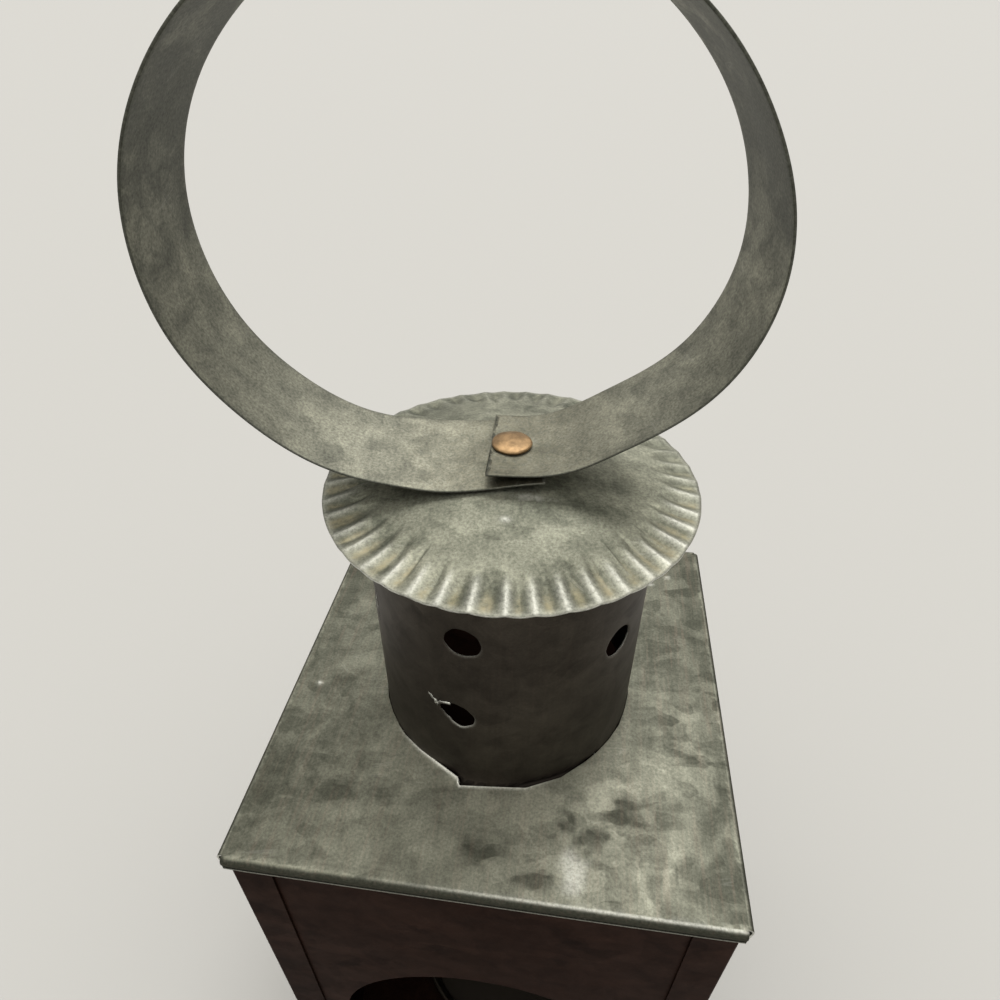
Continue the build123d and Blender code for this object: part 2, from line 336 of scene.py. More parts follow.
def aged_tin(
    name, colours, leaf, leaf_depth, cloud_depth, streak, grain_depth, scratches, metallic, glance,
    follow=False,
):
    """Tinplate that has been darkened with acid and handled: a dull, soft metal sheen under leaf-shaped
    blots where the acid lay, fine rolling streaks, a fine grain, stains and bare bright edges.

    colours are the dark and light patina, the bare metal, which also paints highlights, the two stains and
    the browned streaks. leaf is the length of a blot. leaf_depth, cloud_depth, streak, grain_depth and
    scratches say how strong the blots, the clouds, the streaks, the grain and the scratches are, from 0 to 1,
    and metallic how much of the light comes from the metal and not from its dirt. glance is how bright it is
    where seen aslant. follow makes the pattern follow a bent sheet. The darkening marks carry painted shade
    as well as tarnish, and past 1 they paint deep shade in gaps and folds.
    """
    dark, light, bare_and_highlight, olive, rust, brown = colours
    material, tree = new_material(name)
    if follow:
        place = add_node(tree, "Attribute", attribute_name="lie").outputs["Vector"]
    else:
        place = add_node(tree, "TexCoord").outputs["Object"]
    wear, stain, tarnish, calm = [
        add_node(tree, "Attribute", attribute_name=mark).outputs["Fac"] for mark in marks
    ]

    # Each noise has the size in mm of what it draws, its detail, roughness and distortion
    clouds, puffs, bends, grain, stain_breaks, handled, dents = [
        add_node(tree, "TexNoise", {
            "Vector": place, "Scale": 1 / (size * mm), "Detail": detail, "Roughness": rough,
            "Distortion": twist,
        })
        for size, detail, rough, twist in (
            (30, 2.0, 0.5, 0.0),
            (7, 4.0, 0.62, 0.6),
            (6, 1.0, 0.5, 0.0),
            (0.7, 2.0, 0.7, 0.0),
            (1.5, 3.0, 0.7, 0.0),
            (14, 1.0, 0.5, 0.0),
            (16, 1.0, 0.4, 0.0),
        )
    ]
    # Rolling streaks 0.9 mm apart, real ones being finer
    along = add_node(tree, "Mapping", {"Vector": place, "Scale": (1.0, 0.05, 1.0)})
    streaks = add_node(tree, "TexNoise", {
        "Vector": along, "Scale": 1 / (0.9 * mm), "Detail": 2.0, "Roughness": 0.6,
    })
    # The clouds and puffs set the tone, and the streaks and the grain the brightness, about a middle value
    cloud_tone, puff_tone, streak_gain, grain_gain = [
        add_node(tree, "MapRange", {0: noise, 1: 0.3, 2: 0.7, 3: middle - depth, 4: middle + depth})
        for noise, middle, depth in (
            (clouds, 0.0, cloud_depth / 2),
            (puffs, 0.5, cloud_depth / 2),
            (streaks, 1.0, streak),
            (grain, 1.0, grain_depth),
        )
    ]

    # Blots: long cells at three slants, with ragged edges, a few of them dark
    bent = add_node(tree, "VectorMath", {
        0: bends.outputs["Color"], 1: (4 * mm, 4 * mm, 4 * mm), 2: place,
    }, operation="MULTIPLY_ADD")
    blot_depth = add_node(tree, "MapRange", {0: calm, 3: leaf_depth, 4: 0.0})
    where = add_node(tree, "MapRange", {0: clouds, 1: 0.38, 2: 0.6, 3: 0.2, 4: 1.0})
    level = add_node(tree, "Math", {0: cloud_tone, 1: puff_tone}, operation="ADD")
    for slant, share, size in ((0.5, 0.52, 1.0), (-0.8, 0.54, 0.75), (1.4, 0.56, 1.3)):
        slanted = add_node(tree, "Mapping", {
            "Vector": bent, "Rotation": (slant, slant / 2, slant), "Scale": (1.0, 1.8, 1.4),
        })
        cells = add_node(tree, "TexVoronoi", {
            "Vector": slanted, "Scale": 1 / (leaf * size), "Smoothness": 0.3,
        }, feature="SMOOTH_F1")
        blot = add_node(tree, "MapRange", {
            0: cells.outputs["Color"], 1: share, 2: share + 0.2, 3: 0.0, 4: blot_depth,
        }, interpolation_type="SMOOTHSTEP")
        blotted = add_node(tree, "Math", {0: blot, 1: where}, operation="MULTIPLY")
        level = add_node(tree, "Math", {0: level, 1: blotted}, operation="SUBTRACT")
    tarnished_and_shaded = add_node(tree, "Math", {0: level, 1: tarnish}, operation="SUBTRACT")
    tone = add_node(tree, "Math", {0: tarnished_and_shaded, 1: 0.0, 2: 0.3}, operation="SMOOTH_MAX", use_clamp=True)
    patina = add_node(tree, "Mix", {0: tone, 6: dark, 7: light}, data_type="RGBA")

    # The streaks are browned, and painted shade darkens further where the darkening mark passes 1, in gaps
    # and folds
    browned = add_node(tree, "MapRange", {0: streaks, 1: 0.5, 2: 0.68, 3: 0.0, 4: 1.5 * streak})
    drawn_tin = add_node(tree, "Mix", {0: browned, 6: patina.outputs[2], 7: brown}, data_type="RGBA")
    gain = add_node(tree, "Math", {0: streak_gain, 1: grain_gain}, operation="MULTIPLY")
    deep_shade = add_node(tree, "MapRange", {0: tarnish, 1: 1.0, 2: 2.0, 3: 1.0, 4: 0.1})
    shaded_gain = add_node(tree, "Math", {0: gain, 1: deep_shade}, operation="MULTIPLY")
    mottled = add_node(tree, "VectorMath", {
        0: drawn_tin.outputs[2], "Scale": shaded_gain,
    }, operation="SCALE")

    # Olive and rusty stains, and bare metal that also paints highlights, each broken up by a noise
    stained, rubbed_and_highlit = [
        add_node(tree, "Math", {
            0: mark, 1: add_node(tree, "MapRange", {0: noise, 1: low, 2: 0.6}),
        }, operation="MULTIPLY", use_clamp=True)
        for mark, noise, low in ((stain, stain_breaks, 0.25), (wear, grain, 0.0))
    ]
    stain_kind = add_node(tree, "Mix", {0: puffs, 6: olive, 7: rust}, data_type="RGBA")
    dirty = add_node(tree, "Mix", {0: stained, 6: mottled, 7: stain_kind.outputs[2]}, data_type="RGBA")

    # Scratches: the middle line of a long, narrow noise, only where a coarser noise is high
    bare_and_highlit_marks = rubbed_and_highlit
    for turn, low in ((1.35, 0.6), (2.3, 0.63)):
        turned = add_node(tree, "Mapping", {
            "Vector": place, "Location": (0.0, 0.0, turn * 0.3), "Rotation": (0.0, 0.0, turn),
        })
        narrow = add_node(tree, "Mapping", {"Vector": turned, "Scale": (1.0, 0.07, 1.0)})
        lines = add_node(tree, "TexNoise", {"Vector": narrow, "Scale": 1 / (2.2 * mm), "Detail": 0.0})
        off = add_node(tree, "Math", {0: lines, 1: 0.5}, operation="SUBTRACT")
        size = add_node(tree, "Math", {0: off}, operation="ABSOLUTE")
        line = add_node(tree, "MapRange", {0: size, 1: 0.0, 2: 0.022, 3: scratches, 4: 0.0})
        some = add_node(tree, "MapRange", {0: handled, 1: low, 2: low + 0.08})
        drawn = add_node(tree, "Math", {0: line, 1: some}, operation="MULTIPLY")
        bare_and_highlit_marks = add_node(tree, "Math", {0: bare_and_highlit_marks, 1: drawn}, operation="MAXIMUM")
    finish = add_node(tree, "Mix", {0: bare_and_highlit_marks, 6: dirty.outputs[2], 7: bare_and_highlight}, data_type="RGBA")

    dull = add_node(tree, "MapRange", {0: tone, 3: 0.6, 4: 0.5})
    dent_bump = add_node(tree, "Bump", {"Height": dents, "Strength": 0.5, "Distance": 0.7 * mm})
    grain_bump = add_node(tree, "Bump", {
        "Height": gain, "Strength": 0.3, "Distance": 0.05 * mm, "Normal": dent_bump,
    })
    shader = add_node(tree, "BsdfPrincipled", {
        "Base Color": finish.outputs[2], "Roughness": dull, "Metallic": metallic,
        "Specular Tint": (glance, glance, glance, 1.0), "Normal": grain_bump,
    })
    add_node(tree, "OutputMaterial", {0: shader})
    return material


def blotched_metal(name, colour, size, detail, rough, shades, dullness, metallic, bump=0.0):
    """A metal whose brightness and dullness are moved between two values each by one noise of this size,
    detail and roughness, which also raises bumps of this height."""
    material, tree = new_material(name)
    place = add_node(tree, "TexCoord").outputs["Object"]
    noise = add_node(tree, "TexNoise", {
        "Vector": place, "Scale": 1 / size, "Detail": detail, "Roughness": rough,
    })
    shade = add_node(tree, "MapRange", {0: noise, 1: 0.3, 2: 0.7, 3: shades[0], 4: shades[1]})
    tone = add_node(tree, "VectorMath", {0: colour[:3], "Scale": shade}, operation="SCALE")
    dull = add_node(tree, "MapRange", {0: noise, 3: dullness[0], 4: dullness[1]})
    inputs = {"Base Color": tone, "Roughness": dull, "Metallic": metallic}
    if bump:
        inputs["Normal"] = add_node(tree, "Bump", {"Height": noise, "Strength": 0.5, "Distance": bump})
    shader = add_node(tree, "BsdfPrincipled", inputs)
    add_node(tree, "OutputMaterial", {0: shader})
    return material


def cut_edge(colour):
    """The sheared edge of tinplate: bare steel and tin, brighter than the faces and finely scored."""
    return blotched_metal("cut_edge", colour, 1.1 * mm, 2.0, 0.6, (0.45, 1.0), (0.3, 0.6), 0.8)


def aged_copper(colour):
    """A hammered copper rivet: a warm metal, browned in blotches and rubbed bright between them."""
    return blotched_metal(
        "aged_copper", colour, 2.4 * mm, 4.0, 0.65, (0.5, 1.1), (0.55, 0.32), 0.9, bump=0.15 * mm,
    )


def plain_surface(name, colour):
    """A matt painted floor, without pattern."""
    material, tree = new_material(name)
    shader = add_node(tree, "BsdfPrincipled", {"Base Color": colour, "Roughness": 0.9})
    add_node(tree, "OutputMaterial", {0: shader})
    return material


def tin_finish(context, which):
    """The named aged tin, made once: roof, chimney, walls, cap or strap."""
    tin = context.scene.lantern_tin
    # What aged_tin takes after the colours: the blots' length, then the strengths in its order
    looks = {
        "roof": (9 * mm, 0.28, 0.34, 0.1, 0.24, 0.06, 0.85, 0.35),
        "chimney": (12 * mm, 0.15, 0.4, 0.02, 0.12, 0.0, 0.9, 1.0, True),
        "walls": (12 * mm, 0.2, 0.4, 0.0, 0.14, 0.0, 1.0, 0.6),
        "cap": (8 * mm, 0.15, 0.5, 0.0, 0.3, 0.1, 0.85, 1.0),
        "strap": (8 * mm, 0.12, 0.42, 0.02, 0.34, 0.08, 0.85, 1.0, True),
    }
    dark, light = getattr(tin, which + "_dark"), getattr(tin, which + "_light")
    colours = [tuple(colour) for colour in (dark, light, tin.wear, tin.olive, tin.rust, tin.brown)]
    name = "aged_tin_" + which
    return bpy.data.materials.get(name) or aged_tin(name, colours, *looks[which])


def edge_finish(context):
    """The bright cut edge, made once."""
    return bpy.data.materials.get("cut_edge") or cut_edge(tuple(context.scene.lantern_tin.wear))


# The roof

# Leaf-shaped blots, and paler ones, of which the three large pale ones in front of the chimney are painted
# highlight: place, half length and width, slant, and depth, which is below 0 if pale
roof_leaves_and_highlights = (
    (20.5, -45.5, 4.5, 2.4, -0.9, 0.5),
    (27.5, -48.5, 5.5, 2.2, 0.5, 0.5),
    (35.5, -40.5, 5.5, 3.2, -0.3, 0.4),
    (54, -56.5, 6.0, 5.0, 0.4, 0.22),
    (-13, -43, 6.0, 3.2, 0.2, 0.2),
    (-1, -57, 5.0, 3.6, -0.5, 0.25),
    (40, -60, 5.0, 1.2, -1.2, -0.25),
    (46.3, -53.5, 6.0, 1.4, 1.3, -0.16),
    (33, -53, 5.0, 2.6, 0.4, -0.15),
    (13, -42, 7.0, 4.5, 0.3, -0.75),
    (-14, -55, 8.0, 5.0, -0.2, -0.2),
    (30, -37, 6.0, 4.0, 0.6, -0.4),
    (-2, -43, 5.0, 3.0, 0.1, -0.35),
    (14, -61, 5.0, 2.4, 0.1, 0.15),
    (-56, 52, 9.0, 12.0, 0.0, 0.14),
    (43, -30, 7.0, 4.5, 0.8, -0.1),
    (-34, -50, 7.0, 3.5, 0.3, -0.1),
)
# Places of small bare spots
roof_specks = ((52.4, 50.3), (46.4, 45.8), (-57, -11.8))


def snipped_edge(bearing, corners):
    """Reach of an outline of straight snips between corners, given as (degrees, reach) in rising order.

    Between the corners (a, p) and (b, q), the reach at c is p q sin(b - a) / (p sin(c - a) + q sin(b - c)).
    """
    degrees, reach = np.array(corners).T
    degrees, reach = np.append(degrees, degrees[0] + 360), np.append(reach, reach[0])
    at = (np.degrees(bearing) - degrees[0]) % 360 + degrees[0]
    span = np.clip(np.searchsorted(degrees, at, side="right") - 1, 0, len(corners) - 1)
    a, b, c = np.radians(degrees[span]), np.radians(degrees[span + 1]), np.radians(at)
    p, q = reach[span], reach[span + 1]
    return p * q * np.sin(b - a) / (p * np.sin(c - a) + q * np.sin(b - c))


def roof_hole(bearing, radius):
    """Reach, lift and shine of the chimney hole's edge at each bearing. It was cut with snips: at the left
    front a long cut leaves a raised edge that ends in a step, and a second cut goes on from there. Each
    snip's corner has its bearing in degrees, and how far it lies past the radius in mm."""
    rng = np.random.default_rng(2)
    corners = [(-45, -0.05), (-35, -0.25), (-13.1, 1.55), (-12.6, 3.2), (14, 1.7), (29, 1.0), (42, 0.1)]
    corners += [(turn, rng.uniform(-0.1, 0.15)) for turn in range(49, 311, 9)]
    reach = snipped_edge(bearing, [(turn, radius + past * mm) for turn, past in corners])
    turn = np.degrees(bearing)
    lift = np.interp(turn, (-50, -35, -14, -12.9, -12.2, 14, 40), (0, 0.3, 0.85, 0.8, 0.1, 0.15, 0)) * mm
    shine = np.interp(turn, (-52, -36, -12.9, -12, 14, 30), (0, 0.7, 1, 0.7, 0.45, 0))
    return reach, lift, shine


def roof_marks(x, y):
    """How worn and how dark the flat roof is at these places in mm: bare specks and a blot of solder,
    leaf-shaped blots with ragged outlines, painted shade towards the back, at the left and at the right edge,
    and a painted highlight at the front right and in front of the chimney."""
    torn = 1 + 0.3 * unevenness(x, y, 7, 41)
    wear = 0.45 * bell(oval(x, y, 22.8, -58.2, 3.0, 4.6) * torn, 1, 4)
    for at_x, at_y in roof_specks:
        wear = np.maximum(wear, 0.8 * bell(np.hypot(x - at_x, y - at_y), 0.6))
    # Painted shade darkens the back, the left and the right edge, and a painted highlight lightens the front
    # right
    dark_back = 0.4 * smooth_step(y, -25, 45)
    dark_left = 0.27 * smooth_step(-x - 0.2 * y, 28, 66)
    dark_right = 0.3 * smooth_step(x, 50, 64)
    tarnish = np.maximum(np.maximum(dark_back, dark_left), dark_right)
    tarnish = tarnish - 0.2 * bell(oval(x, y, 22, -46, 36, 26), 1)
    # The pale blots in front of the chimney are painted highlight
    for *leaf, depth in roof_leaves_and_highlights:
        tarnish = tarnish + depth * bell(oval(x, y, *leaf) * torn, 1, 7)
    return wear, tarnish


def roof_patches(roof):
    """The flat top as a ruled surface from a square to the hole's edge, and four lips, each a quarter
    round and a drop, carried along its side.

    The sheet is uneven and its lips bow in and back out. Their lower edges are worn, their bends a little,
    the front bend carries a painted highlight, and painted shade darkens the bends and drops.
    """
    low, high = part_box("roof_plate")
    fold = roof.fold_radius
    half_x, half_y = high.x - fold, high.y - fold
    run = np.linspace(-1, 1, 121)
    ones = np.ones(len(run))
    sides = (
        (np.stack([run * half_x, -half_y * ones], -1), (0, -1)),
        (np.stack([half_x * ones, run * half_y], -1), (1, 0)),
        (np.stack([-run * half_x, half_y * ones], -1), (0, 1)),
        (np.stack([-half_x * ones, -run * half_y], -1), (-1, 0)),
    )

    def height(x, y):
        inside = 1 - np.clip(np.maximum(np.abs(x) / half_x, np.abs(y) / half_y), 0, 1) ** 8
        return high.z + roof.wave * (0.5 + unevenness(x, y, 55 * mm, 4)) * inside

    border = np.concatenate([side[:-1] for side, way in sides])
    bearing = np.arctan2(border[:, 0], -border[:, 1])
    reach, lift, shine = roof_hole(bearing, roof.hole_radius)
    rim = around(bearing, reach, 0)[:, :2]
    share = (np.linspace(1, 0, 50) ** 1.5)[:, None, None]
    flat = rim + (border - rim) * share
    apart = np.linalg.norm(flat - rim, axis=-1)
    z = height(flat[..., 0], flat[..., 1]) + lift * bell(apart, 2.0 * mm, 1)
    z = z + 0.12 * mm * shine * bell(apart, 0.3 * mm, 1)
    x, y = flat[..., 0] / mm, flat[..., 1] / mm
    wear, tarnish = roof_marks(x, y)
    wear = np.maximum(wear, shine * bell(apart, 0.55 * mm))
    calm = 0.5 * (1 - smooth_step(x - 0.55 * y, 14, 66))
    patches = [patch(np.dstack([flat, z]), True, wear, tarnish=tarnish, calm=calm)]

    # The lips: a bend, and what hangs below it, each from its lower edge upwards
    up = np.array((0, 0, 1))
    turn = np.linspace(pi / 2, 0, 12)[:, None]
    fall = np.linspace(1, 0, 13)[:-1, None]
    bend_out, bend_down = fold * np.sin(turn)[..., None], fold * (1 - np.cos(turn))[..., None]
    bow = 0.35 * mm * np.sin(pi * np.clip(fall * 0.8, 0, 1)) - 0.2 * mm * (1 - fall)
    near_end = np.clip((1 - np.abs(run)) * half_x / (6 * mm), 0, 1)
    # Painted shade darkens each lip's bend and drop, deepest across the middle of the drop
    drop_shade = 0.75 + 1.05 * smooth_step(fall, 0.25, 0.9) * (1 - smooth_step(fall, 0.86, 0.95))
    dark = np.concatenate([drop_shade * ones, 0.75 * smooth_step(turn, 0.1, 1.1) * ones])
    for number, (side, way) in enumerate(sides):
        outward = np.array((*way, 0))
        start = np.column_stack([side, height(side[:, 0], side[:, 1])])
        bend = start + outward * bend_out - up * bend_down
        uneven_edge = 0.12 * mm * unevenness(run * half_x, 0, 60 * mm, 20 + number)
        drop = start[:, 2] - low.z - fold - 0.15 * mm + uneven_edge - 0.3 * mm * (1 - near_end)
        hang = bend[:1] - up * (fall * drop)[..., None] - outward * np.clip(bow, 0, 1)[..., None]
        # A painted highlight runs along the front bend, stronger to the right; the lower edges are worn
        rubbed_and_highlit = 0.52 * smooth_step(run, -0.6, 0.5) if number == 0 else 0.05
        paleness = [0.45 * smooth_step(fall, 0.82, 0.95) * ones, rubbed_and_highlit * bell(turn - 0.35, 0.26) * ones]
        patches.append(patch(np.concatenate([hang, bend]), False, np.concatenate(paleness), tarnish=dark))
    return patches


class LANTERN_OT_roof(bpy.types.Operator):
    """Make the folded roof with its hand-cut hole"""

    bl_idname = "lantern.roof"
    bl_label = "Roof"

    def execute(self, context):
        patches = roof_patches(context.scene.lantern_roof)
        make_sheet(context, "roof_sheet", patches, "roof", "tin_roof", "roof_plate")
        return {"FINISHED"}


# The chimney


def vent_places(chimney):
    """Bearing, height above the roof, width, height and slant of each vent: columns of two, and of one
    between them, each a little out of place, as punched by hand. The first three are set one by one."""
    rng = np.random.default_rng(17)
    size = chimney.vent_radius
    upper, middle, lower = 54.6 * mm, 44.8 * mm, 26.8 * mm
    places = []
    for column in range(chimney.vent_columns):
        turn = radians(-12) + 2 * pi * column / chimney.vent_columns
        rows = ((4, middle),) if column % 2 else ((0, upper), (0, lower))
        for shift, height in rows:
            across, up, wide, tall, slant = rng.uniform(-1, 1, 5)
            places.append((
                turn + radians(shift + 0.9 * across), height + 0.5 * mm * up,
                size * (1.03 + 0.03 * wide), size * (1.0 + 0.03 * tall), 0.2 * slant,
            ))
    places[0] = (radians(-10.4), 53.8 * mm, size * 1.05, size * 1.0, -0.1)
    places[1] = (radians(-14.0), 26.2 * mm, size * 1.12, size * 0.95, -0.35)
    places[2] = (radians(53.1), 44.3 * mm, size * 1.04, size * 1.03, 0.0)
    return places


def vent_patch(vent, block, cells, roof_top, tube, seed, torn):
    """The sheet round one vent: rings that shrink from the square block left out of the tube to the edge
    of the hole, a slanted oval with a few low waves, which curls a little into the tube. torn says how
    bright its lower edge is, and over a half its lower left is torn straight."""
    bearing, height, wide, tall, slant = vent
    across, z = bearing * tube, roof_top + height
    left, right, low, high = block
    width, rise = right - left, high - low
    side = np.linspace(0, 1, cells + 1)[:-1]
    ones = np.ones(cells)
    edge_x = np.concatenate([left + width * side, right * ones, right - width * side, left * ones])
    edge_z = np.concatenate([low * ones, low + rise * side, high * ones, high - rise * side])
    angle = np.arctan2(edge_z - z, edge_x - across)
    phase = np.random.default_rng(seed).uniform(0, 2 * pi, 3)
    waves = 1 + 0.02 * np.cos(3 * angle + phase[0]) + 0.012 * np.cos(5 * angle + phase[1])
    waves = waves + 0.01 * np.cos(9 * angle + phase[2])
    own = angle - slant
    reach = waves * wide * tall / np.hypot(tall * np.cos(own), wide * np.sin(own))
    if torn > 0.5:
        tear = np.maximum(np.cos(angle - radians(228)), 0.05)
        reach = np.minimum(reach, (3.0 * mm + 0.15 * mm * np.sin(9 * angle)) / tear)
    share = (np.linspace(1, 0, 10) ** 1.7)[:, None]
    hole_x, hole_z = across + reach * np.cos(angle), z + reach * np.sin(angle)
    apart = np.hypot(edge_x - hole_x, edge_z - hole_z) * share
    x = hole_x + (edge_x - hole_x) * share
    up = hole_z + (edge_z - hole_z) * share
    curl = 0.25 * mm * bell(apart, 0.35 * mm, 1) * (1 - share)
    wear = torn * bell(apart, 0.42 * mm) * (0.5 + 0.5 * np.cos(angle - radians(285))) ** 3
    return patch(around(x / tube, tube - curl, up), True, wear, lie=np.stack([x, up, 0 * x], -1))


def torn_flap(points, widths, lifts, tube, paleness):
    """A flap of torn tin on the tube, along points (way round, height) in millimetres. At each point it has
    this half width, lift off the tube and wear, and its sides are ragged by a sum of sines."""
    run = np.linspace(0, len(points) - 1, 28)[:, None]

    def at(values):
        return np.interp(run[:, 0], range(len(points)), values)[:, None]

    middle = np.hstack([at(points[:, 0]), at(points[:, 1])]) * mm
    way = np.gradient(middle, axis=0)
    way = way / np.linalg.norm(way, axis=1)[:, None]
    beside = np.stack([-way[:, 1], way[:, 0]], -1)
    across = np.linspace(-1, 1, 5)
    ragged = 1 + 0.3 * np.sin(9 * run + 2 * across) + 0.25 * np.sin(23 * run - 3 * across)
    flat = middle[:, None] + beside[:, None] * (across * at(widths) * mm * ragged)[..., None]
    lift = at(lifts) * mm + 0.06 * mm * np.sin(31 * run + 4 * across)
    wear = at(paleness) * (0.6 + 0.4 * np.sin(13 * run))
    return patch(around(flat[..., 0] / tube, tube + lift, flat[..., 1])[:, ::-1], False, wear)


def foot_flare(bearing, z, roof_top):
    """How far the tube's foot stands out at its dented front left: a smooth hump round the tube, which
    dies away exponentially above the roof."""
    turn = np.degrees(bearing)
    hump = smooth_step(turn, -17, -10) * (1 - smooth_step(turn, -7, 22))
    return 2.2 * mm * hump * bell(np.clip(z - roof_top, 0, None), 2.5 * mm, 1)


def chimney_patches(chimney):
    """The tube as a grid of about 1 mm cells round the axis, with a block of cells left out at each vent
    and filled with the sheet round that vent. Tabs bend out under the roof, and a lap covers the seam."""
    low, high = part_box("chimney")
    roof_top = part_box("roof_plate")[1].z
    tube = chimney.radius
    columns, block_cells, tabs = 232, 12, 8
    bend, tab_reach, lap_half = 0.8 * mm, 6 * mm, 4 * mm
    foot = low.z + sheet
    bearing = np.arange(columns) * 2 * pi / columns - pi
    rows = round((high.z - foot - bend) / mm)
    heights = np.linspace(foot + bend, high.z, rows + 1)
    keep = np.ones((rows, columns), dtype=bool)
    cell_x, cell_z = 2 * pi * tube / columns, heights[1] - heights[0]
    patches = []
    vents = vent_places(chimney)
    for number, vent in enumerate(vents):
        first = round((vent[0] + pi) * tube / cell_x) - block_cells // 2
        lowest = round((roof_top + vent[1] - heights[0]) / cell_z) - block_cells // 2
        keep[lowest : lowest + block_cells, np.arange(first, first + block_cells) % columns] = False
        left = first * cell_x - pi * tube
        block = (left, left + block_cells * cell_x, heights[lowest], heights[lowest + block_cells])
        torn = 0.6 if number == 1 else 0.15
        patches.append(vent_patch(vent, block, block_cells, roof_top, tube, 30 + number, torn))
    ones = np.ones((rows + 1, columns))
    lie = np.stack([bearing * tube * ones, heights[:, None] * ones, 0 * ones], -1)
    flare = foot_flare(bearing, heights[:, None], roof_top)
    patches.append(patch(around(bearing, tube * ones + flare, heights[:, None]), True, 0, lie=lie, keep=keep))

    # Tabs: a quarter round from the tube's foot, then flat, with slots between them
    turn = np.linspace(pi / 2, 0, 6)[:, None]
    reach = np.concatenate([[[tube + tab_reach]], tube + bend * (1 - np.cos(turn))])
    drop = np.concatenate([[[foot]], foot + bend * (1 - np.sin(turn))])
    for first in range(0, columns, columns // tabs):
        span = np.arange(first + 2, first + columns // tabs - 1)
        flare = foot_flare(bearing[span], drop, roof_top)
        # Painted shade darkens the tabs deeply, as they show in the gap round the roof's hole
        patches.append(patch(around(bearing[span], reach + flare, drop), tarnish=1.5))

    # The lap of the seam, at the back
    lap = np.linspace(-1, 1, 9) * lap_half / tube + pi
    run = np.linspace(roof_top + 0.6 * mm, high.z - 0.6 * mm, 40)[:, None]
    proud = sheet + 0.1 * mm * unevenness(0 * lap, run, 20 * mm, 6)
    patches.append(patch(around(lap, tube + proud, run), False, 0.25 * (np.abs(lap - pi) > 3.5 * mm / tube)))

    # One vent was torn: a ragged sliver of tin stands up at its upper left
    x, z = vents[1][0] * tube / mm, (roof_top + vents[1][1]) / mm
    sliver = [(-7.9, 4.4), (-7.3, 4.1), (-6.7, 3.8), (-6.1, 3.2), (-5.5, 2.7), (-4.2, 3.1), (-1.6, 3.7)]
    widths = (0.3, 0.08, 0.35, 0.1, 0.5, 0.3, 0.12)
    lifts = (0.1, 0.15, 0.25, 0.3, 0.4, 0.2, 0.1)
    paleness = (0.7, 0.2, 0.8, 0.3, 1.0, 0.25, 0.15)
    patches.append(torn_flap(np.array(sliver) + (x, z), widths, lifts, tube, paleness))
    return patches


class LANTERN_OT_chimney(bpy.types.Operator):
    """Make the vented chimney"""

    bl_idname = "lantern.chimney"
    bl_label = "Chimney"

    def execute(self, context):
        patches = chimney_patches(context.scene.lantern_chimney)
        make_sheet(context, "chimney_tube", patches, "chimney", "tin_chimney", "chimney")
        return {"FINISHED"}


# The cap

# Dark marks on the cap: a smudge beside the scuff, a painted shadow under the strap's right half and painted
# shade at the left: place, half length, half width and depth
cap_smudges_and_shadows = ((18, -14.5, 8, 2.4, 0.25), (25, -7, 11, 4, 0.2), (-27, -18, 11, 6, 0.18))


